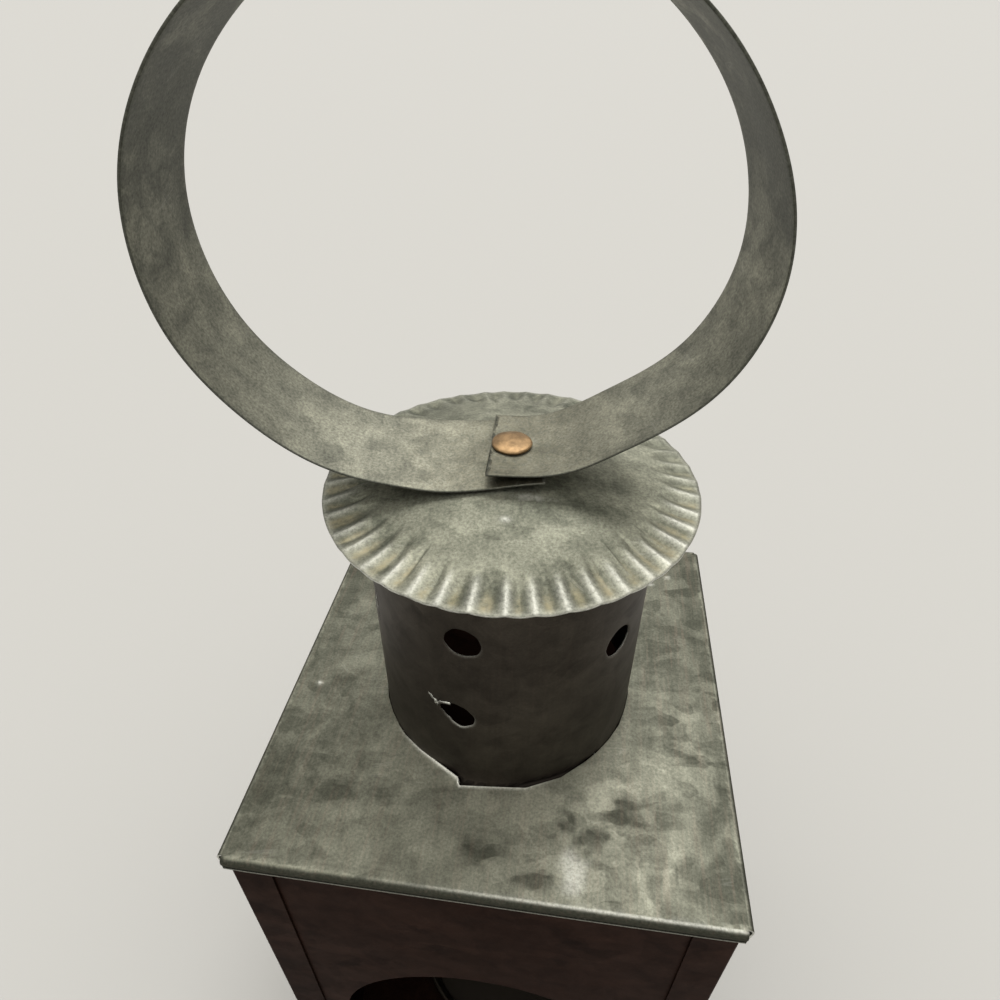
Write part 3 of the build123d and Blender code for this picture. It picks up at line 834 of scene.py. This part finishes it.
def cap_patches(cap):
    """The cap as a cone about the axis, with flutes pressed into it from the rim inwards.

    A flute's depth is a power of half of one minus the cosine across it, so narrow crests stay between
    the flutes. Each has its own length, depth and place, a round inner end and stains in it.
    """
    low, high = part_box("cap")
    reach, rim_z, rivet_hole = high.x, low.z + sheet, 1.75 * mm
    bearing = np.arange(cap.crimps * 16) * 2 * pi / (cap.crimps * 16)
    radius = np.concatenate([np.linspace(reach, cap_pad_radius, 50), [rivet_hole]])[:, None]
    slope = (high.z - rim_z) / (reach - cap_pad_radius)
    cone = high.z - np.maximum(radius - cap_pad_radius, 0) * slope
    x, y = radius * np.sin(bearing) / mm, -radius * np.cos(bearing) / mm

    rng = np.random.default_rng(12)
    phase = (bearing - radians(-3.6)) * cap.crimps / (2 * pi)
    nearest = np.round(phase).astype(int)
    crimp = nearest % cap.crimps
    shift = rng.uniform(-0.07, 0.07, cap.crimps)[crimp]
    deep = rng.uniform(0.75, 1.1, cap.crimps)[crimp]
    begin = reach * rng.uniform(0.69, 0.78, cap.crimps)[crimp]
    apart = phase - nearest - shift
    valley = (0.5 - 0.5 * np.cos(2 * pi * apart)) ** 0.55
    tip = begin + 3.5 * mm * (1 - valley)
    rise = smooth_step(radius, tip, tip + 6 * mm)
    flute = cap.crimp_height * deep * valley * rise * (1 - 0.65 * smooth_step(radius, reach - 5 * mm, reach))
    dents = 0.2 * mm * unevenness(x, y, 30, 3) * smooth_step(radius, 9 * mm, 16 * mm)
    dents = dents * (1 - smooth_step(radius, 42 * mm, reach))
    lifted = 0.75 * cap.crimp_height * smooth_step(radius, 16 * mm, 36 * mm)
    solder = bell(oval(x, y, 1.1, -21.8, 1.12, 0.7), 1)
    z = cone + lifted - flute + dents + 0.25 * mm * solder

    # Worn crests carrying a painted highlight, weaker at the left, a worn rim and solder, and stained flutes
    # with painted shade, deeper on one side of each flute. Crests and stains are weaker at the back.
    at_front = smooth_step(np.cos(bearing), -0.5, 0.4)
    # The crests' bright wear is partly a painted highlight, strongest on the front crests
    crest_wear_and_highlight = (1 - valley) ** 2.2 * smooth_step(radius, reach * 0.78, reach * 0.9) * (0.1 + 0.65 * at_front)
    crest_wear_and_highlight = crest_wear_and_highlight * (1 - 0.35 * smooth_step(-x, 18, 36))
    edge = smooth_step(radius, reach - 1.2 * mm, reach - 0.3 * mm)
    broken = 1 + 0.4 * unevenness(x, y, 3, 27)
    scuff = bell(oval(x, y - 0.1 * x, 6.3, -15.3, 3.6, 0.7) * broken, 1, 4)
    wear = np.maximum(np.maximum(crest_wear_and_highlight, 0.3 * edge), np.maximum(0.6 * solder, 0.4 * scuff))
    middle = bell(np.abs(apart) - 0.5 + 0.06 * np.sign(apart), 0.16)
    stain = 0.8 * middle * smooth_step(radius, tip + 4 * mm, tip + 9 * mm) * (1 - edge)
    stain = stain * (0.1 + 0.9 * at_front)
    shade = np.where(apart < 0, 1.0, 0.55) * (valley - 0.5 * middle)
    tarnish = 0.42 * shade * rise * (1 - edge)
    # Painted highlight lightens the right of the cap and painted shade darkens its left
    tarnish = tarnish - 0.3 * smooth_step(x, 14, 34) + 0.08 * smooth_step(-x, 15, 35)
    for *dark_spot, depth in cap_smudges_and_shadows:
        tarnish = tarnish + depth * bell(oval(x, y, *dark_spot) * broken, 1)
    return [patch(around(bearing, radius, z), True, wear, stain, tarnish)]


class LANTERN_OT_cap(bpy.types.Operator):
    """Make the crimped cap"""

    bl_idname = "lantern.cap"
    bl_label = "Cap"

    def execute(self, context):
        patches = cap_patches(context.scene.lantern_cap)
        make_sheet(context, "crimped_cap", patches, "cap", "tin_cap", "cap")
        return {"FINISHED"}


# The handle

ring_outline_shares = (
    (-0.160, 0.004),
    (-0.275, 0.023),
    (-0.450, 0.142),
    (-0.565, 0.355),
    (-0.566, 0.612),
    (-0.458, 0.825),
    (-0.296, 0.951),
    (-0.119, 0.998),
    (0.057, 0.973),
    (0.222, 0.877),
    (0.354, 0.701),
    (0.412, 0.458),
    (0.337, 0.219),
    (0.192, 0.087),
)
lap_left = 5.5 * mm
lap_right = 7.5 * mm
lap_lift = 0.4 * mm
seat_bend_start = 6.0 * mm
layer_step = 1.3 * mm
strap_middle_above_cap = 0.5 * mm


def smooth_path(points, first_way, last_way):
    """A smooth curve through points, as its length and a function from a distance to a place and a way.

    It is the cubic spline whose slope and bend are continuous at every point, with the distance between
    points as its parameter, and with the given directions at its ends.
    """
    points = np.array(points)
    gap = np.linalg.norm(np.diff(points, axis=0), axis=1)
    knots = np.concatenate([[0], np.cumsum(gap)])
    count = len(points)
    system, right = np.zeros((count, count)), np.zeros((count, 2))
    system[0, 0] = system[-1, -1] = 1
    right[0] = np.array(first_way) / np.linalg.norm(first_way)
    right[-1] = np.array(last_way) / np.linalg.norm(last_way)
    inner = np.arange(1, count - 1)
    before, after = gap[inner - 1], gap[inner]
    system[inner, inner - 1] = after
    system[inner, inner] = 2 * (before + after)
    system[inner, inner + 1] = before
    rate = np.diff(points, axis=0) / gap[:, None]
    right[inner] = 3 * (after[:, None] * rate[inner - 1] + before[:, None] * rate[inner])
    slope = np.linalg.solve(system, right)

    def at(distance):
        span = np.clip(np.searchsorted(knots, distance, side="right") - 1, 0, count - 2)
        step = gap[span][..., None]
        t = (distance - knots[span])[..., None] / step
        a, b, c, d = points[span], slope[span] * step, points[span + 1], slope[span + 1] * step
        place = a + t * b + t**2 * (3 * (c - a) - 2 * b - d) + t**3 * (2 * (a - c) + b + d)
        way = b + 2 * t * (3 * (c - a) - 2 * b - d) + 3 * t**2 * (2 * (a - c) + b + d)
        return place, way / np.linalg.norm(way, axis=-1)[..., None]

    return knots[-1], at


def strap_patches(handle):
    """The strap: a flat, round-edged section carried along the ring's outline from its lower end to its
    upper end. The upper end was cut by hand, askew and a little ragged."""
    seat_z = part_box("cap")[1].z + strap_middle_above_cap
    points = [(lap_right, lap_lift), (-lap_left, 0)]
    points += [(across * handle.ring_width, up * handle.ring_height) for across, up in ring_outline_shares]
    points += [(seat_bend_start, layer_step), (-lap_left, layer_step)]
    length, at = smooth_path(points, (-lap_right, -lap_lift), (-1, 0))

    half_width, half_thick = handle.strap_width / 2, handle.strap_thickness / 2
    flat = np.linspace(-1, 1, 25) * (half_width - half_thick)
    turn = np.linspace(pi / 2, -pi / 2, 7)[1:-1]
    round_x, round_z = half_width - half_thick + half_thick * np.cos(turn), half_thick * np.sin(turn)
    across = np.concatenate([flat, round_x, -flat, -round_x])
    through = np.concatenate([0 * flat + half_thick, round_z, 0 * flat - half_thick, -round_z])

    stations = np.linspace(0, length, 460)[:, None]
    share = across / half_width
    ragged = 0.25 * mm * np.sin(9 * share + 1) + 0.2 * mm * np.sin(23 * share)
    notch = 1.0 * mm * bell(share + 0.05, 0.06)
    cut = -0.6 * mm - 0.9 * mm * share - ragged * 0.6 - notch
    stations = stations + cut * smooth_step(stations, length - 14 * mm, length)
    place, way = at(stations)
    side = np.array((cos(handle.ring_yaw), sin(handle.ring_yaw), 0))
    back = np.array((-sin(handle.ring_yaw), cos(handle.ring_yaw), 0))
    up = np.array((0, 0, 1))

    # Left of the rivet the strap follows the cone of the cap: it sags, more at its front edge, in two
    # bell-shaped humps along its length, as far as there is room over the cone, and it swerves forwards in
    # another. The front edge of its upper end stands off the lower one.
    front = 0.5 - 0.5 * across / half_width
    near = 2.4 * mm * bell(stations - 21 * mm, 12 * mm) * (0.1 + 0.9 * front**1.3)
    far = 1.3 * mm * bell(stations - 52 * mm, 24 * mm) * (0.5 + 0.5 * front)
    lifted = 1.0 * mm * smooth_step(stations, length - 24 * mm, length - 8 * mm) * front**8
    room = 0.12 * mm + 0.2 * np.maximum(np.hypot(place[..., 0], across) - cap_pad_radius, 0)
    sag = (near + far) * room / ((near + far) ** 4 + room**4) ** 0.25 - lifted
    swerve = 0.6 * mm * bell(stations - 38 * mm, 20 * mm)
    inner = way[..., 1:] * side - way[..., :1] * up
    dents = 0.12 * mm * unevenness(stations, across, 28 * mm, 15) * smooth_step(stations, 20 * mm, 40 * mm)
    dents = dents * (1 - smooth_step(stations, length - 40 * mm, length - 20 * mm))
    centre = place[..., :1] * side + place[..., 1:] * up + up * seat_z
    centre = centre - sag[..., None] * up - swerve[..., None] * back
    grid = centre + (through + dents)[..., None] * inner + across[..., None] * back

    # It is worn at its cut end, and darker near the rivet. Painted shade darkens its edges and its upper
    # part, and a painted shadow fills the gap under the lap
    wear = 0.15 * smooth_step(stations, length - 0.5 * mm, length) * (through > 0)
    height = place[..., 1] / handle.ring_height
    edge = smooth_step(np.abs(across), half_width - 0.35 * mm, half_width)
    by_rivet = bell(np.minimum(stations, length - stations), 28 * mm)
    under_lap = smooth_step(front, 0.8, 0.9) * (1 - smooth_step(stations, 11 * mm, 14 * mm)) * (1 - edge)
    tarnish = np.maximum(0.47 * smooth_step(height, 0.25, 0.75), 0.95 * edge)
    tarnish = np.maximum(np.maximum(tarnish, 0.2 * by_rivet), 1.9 * under_lap)
    stain = 0.22 * by_rivet * (1 - edge)
    lie = np.stack([across + 0 * stations, stations, 0.2 * through + 0 * stations], -1)
    first = np.stack([grid[0].mean(axis=0) + 0 * grid[0], grid[0]])
    last = np.stack([grid[-1], grid[-1].mean(axis=0) + 0 * grid[-1]])
    # The cut face of the upper end is darkened with painted shade
    return [
        patch(grid, True, wear, stain, tarnish, lie),
        patch(first, True, 0.1),
        patch(last, True, tarnish=0.8),
    ]


def rivet_patches():
    """The rivet as a profile turned about its axis: a shallow dome, its rim, the shank and the tail."""
    low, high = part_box("handle_rivet")
    radius, head_z, tail_z = high.x, high.z - 1.4 * mm, low.z + 1.2 * mm
    shank, tail = 1.6 * mm, 2.5 * mm
    dome = np.linspace(0, 1, 14)
    profile = np.concatenate([
        np.stack([radius * 0.97 * dome, high.z - 0.8 * mm * dome**2.6], -1),
        [(radius, head_z + 0.35 * mm), (radius * 0.985, head_z), (shank, head_z)],
        [(shank, tail_z), (tail, tail_z), (tail * 0.7, low.z + 0.4 * mm), (0, low.z)],
    ])[::-1]
    bearing = np.linspace(0, 2 * pi, 72, endpoint=False)
    reach = profile[:, :1] * (1 + 0.015 * np.sin(2 * bearing + 1) + 0.01 * np.sin(5 * bearing) - 0.012)
    dents = 0.06 * mm * (unevenness(reach * np.sin(bearing), reach * np.cos(bearing), 4 * mm, 8) - 1)
    z = profile[:, 1:] + dents * (profile[:, 1:] > head_z + 0.3 * mm)
    return [patch(around(bearing, reach, z), True)]


class LANTERN_OT_handle(bpy.types.Operator):
    """Make the ring handle and its copper rivet"""

    bl_idname = "lantern.handle"
    bl_label = "Ring handle"

    def execute(self, context):
        strap = new_piece("ring_strap", strap_patches(context.scene.lantern_handle))
        put_together(strap, "handle", "tin_strap", (tin_finish(context, "strap"),), "handle_strap")
        copper = aged_copper(tuple(context.scene.lantern_tin.copper))
        rivet = new_piece("copper_rivet", rivet_patches())
        put_together(rivet, "handle", "copper", (copper,), "handle_rivet")
        paint_nodes(copper, "rivet_burr")
        return {"FINISHED"}


# The walls


def punch_places(punch):
    """Places (y, z) of the punched holes in a side wall: a rosette of rings, and a row above and below."""
    bottom_row, top_row = 56 * mm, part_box("roof_plate")[1].z - 30 * mm
    centre = (bottom_row + top_row) / 2
    places = [(0, centre)]
    for ring in range(1, punch.rings + 1):
        turn = np.arange(ring * 6) * 2 * pi / (ring * 6)
        places += list(zip(ring * punch.pitch * np.cos(turn), centre + ring * punch.pitch * np.sin(turn)))
    run = (np.arange(punch.row_count) - (punch.row_count - 1) / 2) * punch.row_pitch
    places += [(y, z) for z in (bottom_row, top_row) for y in run]
    return np.array(places)


def burr_patches(punch, side):
    """The raised, torn lip round every punched hole: one closed section turned about the hole's axis."""
    wall_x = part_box("right_side")[1].x
    places = punch_places(punch)
    reach = np.array((2.6, 1.9, 1.45, 1.2, 1.25, 1.3, 2.4, 2.6)) * mm
    rise = np.array((-0.06, 0.14, 0.42, 0.62, 0.2, -0.3, -0.3, -0.06))[None, :, None] * mm
    turn = np.linspace(0, 2 * pi, 12, endpoint=False)
    rng = np.random.default_rng(5 + side)
    torn = 1 + 0.3 * rng.uniform(-1, 1, (len(places), 1, len(turn)))
    tall = np.where(rise > 0.3 * mm, rise * torn, rise)
    y = places[:, :1, None] + side * reach[:, None] * np.cos(turn)
    z = places[:, 1:, None] + reach[:, None] * np.sin(turn)
    x, y, z = np.broadcast_arrays(side * (wall_x + tall), y, z)
    wear = 0.7 * (np.arange(len(reach)) == 3)[:, None]
    return [patch(ring, True, wear) for ring in np.stack([x, y, z], -1)]


class LANTERN_OT_walls(bpy.types.Operator):
    """Finish the walls and the base, and raise the burrs of the punched holes"""

    bl_idname = "lantern.walls"
    bl_label = "Walls"

    def execute(self, context):
        # The walls' dark patina stands in for painted shade and reflection
        finish = tin_finish(context, "walls")
        paint_nodes(finish, "front_panel", "back_panel", "left_side", "right_side", "base_pan")
        for name, side in (("left_burrs", -1), ("right_burrs", 1)):
            burrs = new_piece(name, burr_patches(context.scene.lantern_punch, side))
            put_together(burrs, "lantern", "tin_body", (finish,))
        return {"FINISHED"}


class LANTERN_OT_inside(bpy.types.Operator):
    """Finish the drip pan and the candle socket"""

    bl_idname = "lantern.inside"
    bl_label = "Pan and socket"

    def execute(self, context):
        paint_nodes(tin_finish(context, "chimney"), "drip_pan", "candle_socket")
        return {"FINISHED"}


# The studio


class LANTERN_OT_studio(bpy.types.Operator):
    """Make the camera, the lights and the floor"""

    bl_idname = "lantern.studio"
    bl_label = "Studio"

    def execute(self, context):
        studio = context.scene.lantern_studio
        scene = context.scene
        scene.view_settings.view_transform = "Standard"

        yaw, dip, roll = studio.camera_yaw, studio.camera_dip, studio.camera_roll
        forward = Vector((sin(yaw) * cos(dip), cos(yaw) * cos(dip), -sin(dip)))
        level = Vector((cos(yaw), -sin(yaw), 0))
        upright = level.cross(forward)
        right = level * cos(roll) + upright * sin(roll)
        up = upright * cos(roll) - level * sin(roll)
        turn = Matrix((right, up, -forward)).transposed().to_4x4()
        lens = bpy.data.cameras.new("camera")
        lens.sensor_width = 36
        lens.lens = studio.focal_share * lens.sensor_width
        lens.clip_start = 0.01
        camera = bpy.data.objects.new("camera", lens)
        camera.matrix_world = Matrix.Translation(studio.camera_place) @ turn
        scene.collection.objects.link(camera)
        scene.camera = camera

        size = 150.0
        corners = np.array([[[-size, -size, 0], [size, -size, 0]], [[-size, size, 0], [size, size, 0]]])
        floor = new_piece("floor", [patch(corners)])
        floor.data.materials.append(plain_surface("floor_paint", tuple(studio.floor_colour)))

        sun = bpy.data.lights.new("key", "SUN")
        sun.energy = studio.sun_strength
        sun.angle = radians(28)
        key = bpy.data.objects.new("key", sun)
        towards_light = Vector((0.14, 0.40, 0.90))
        key.rotation_euler = towards_light.to_track_quat("Z", "Y").to_euler()
        scene.collection.objects.link(key)

        # The sky is a large soft ceiling light that falls off towards the horizon. The camera alone sees
        # a pale wall in its place.
        world = bpy.data.worlds.new("sky")
        world.use_nodes = True
        tree = world.node_tree
        tree.nodes.clear()
        parts = add_node(tree, "SeparateXYZ", {0: add_node(tree, "TexCoord").outputs["Generated"]})
        strength = add_node(tree, "MapRange", {
            0: parts.outputs[2], 1: 0.2, 2: 0.95, 3: studio.horizon_strength, 4: studio.sky_strength,
        }, interpolation_type="SMOOTHSTEP")
        light = add_node(tree, "Background", {0: linear("#FBF9F4"), 1: strength})
        wall = add_node(tree, "Background", {0: linear("#DEDCD6"), 1: 1.0})
        seen = add_node(tree, "LightPath").outputs["Is Camera Ray"]
        sky = add_node(tree, "MixShader", {0: seen, 1: light, 2: wall})
        add_node(tree, "OutputWorld", {0: sky})
        scene.world = world
        return {"FINISHED"}


class LANTERN_PT_panel(bpy.types.Panel):
    """Lists what makes the lantern"""

    bl_label = "Lantern"
    bl_idname = "LANTERN_PT_panel"
    bl_space_type = "VIEW_3D"
    bl_region_type = "UI"
    bl_category = "Lantern"

    def draw(self, context):
        for name in steps:
            self.layout.operator("lantern." + name)


steps = ("studio", "roof", "chimney", "cap", "handle", "walls", "inside")
settings = {
    "lantern_studio": StudioSettings,
    "lantern_tin": TinSettings,
    "lantern_roof": RoofSettings,
    "lantern_chimney": ChimneySettings,
    "lantern_cap": CapSettings,
    "lantern_handle": HandleSettings,
    "lantern_punch": PunchSettings,
}
classes = (
    *settings.values(),
    LANTERN_OT_studio,
    LANTERN_OT_roof,
    LANTERN_OT_chimney,
    LANTERN_OT_cap,
    LANTERN_OT_handle,
    LANTERN_OT_walls,
    LANTERN_OT_inside,
    LANTERN_PT_panel,
)


def register():
    for item in classes:
        bpy.utils.register_class(item)
    for name, group in settings.items():
        setattr(bpy.types.Scene, name, PointerProperty(type=group))


def unregister():
    for name in settings:
        delattr(bpy.types.Scene, name)
    for item in reversed(classes):
        bpy.utils.unregister_class(item)


def main():
    register()
    for name in steps:
        getattr(bpy.ops.lantern, name)()


if __name__ == "__main__":
    main()
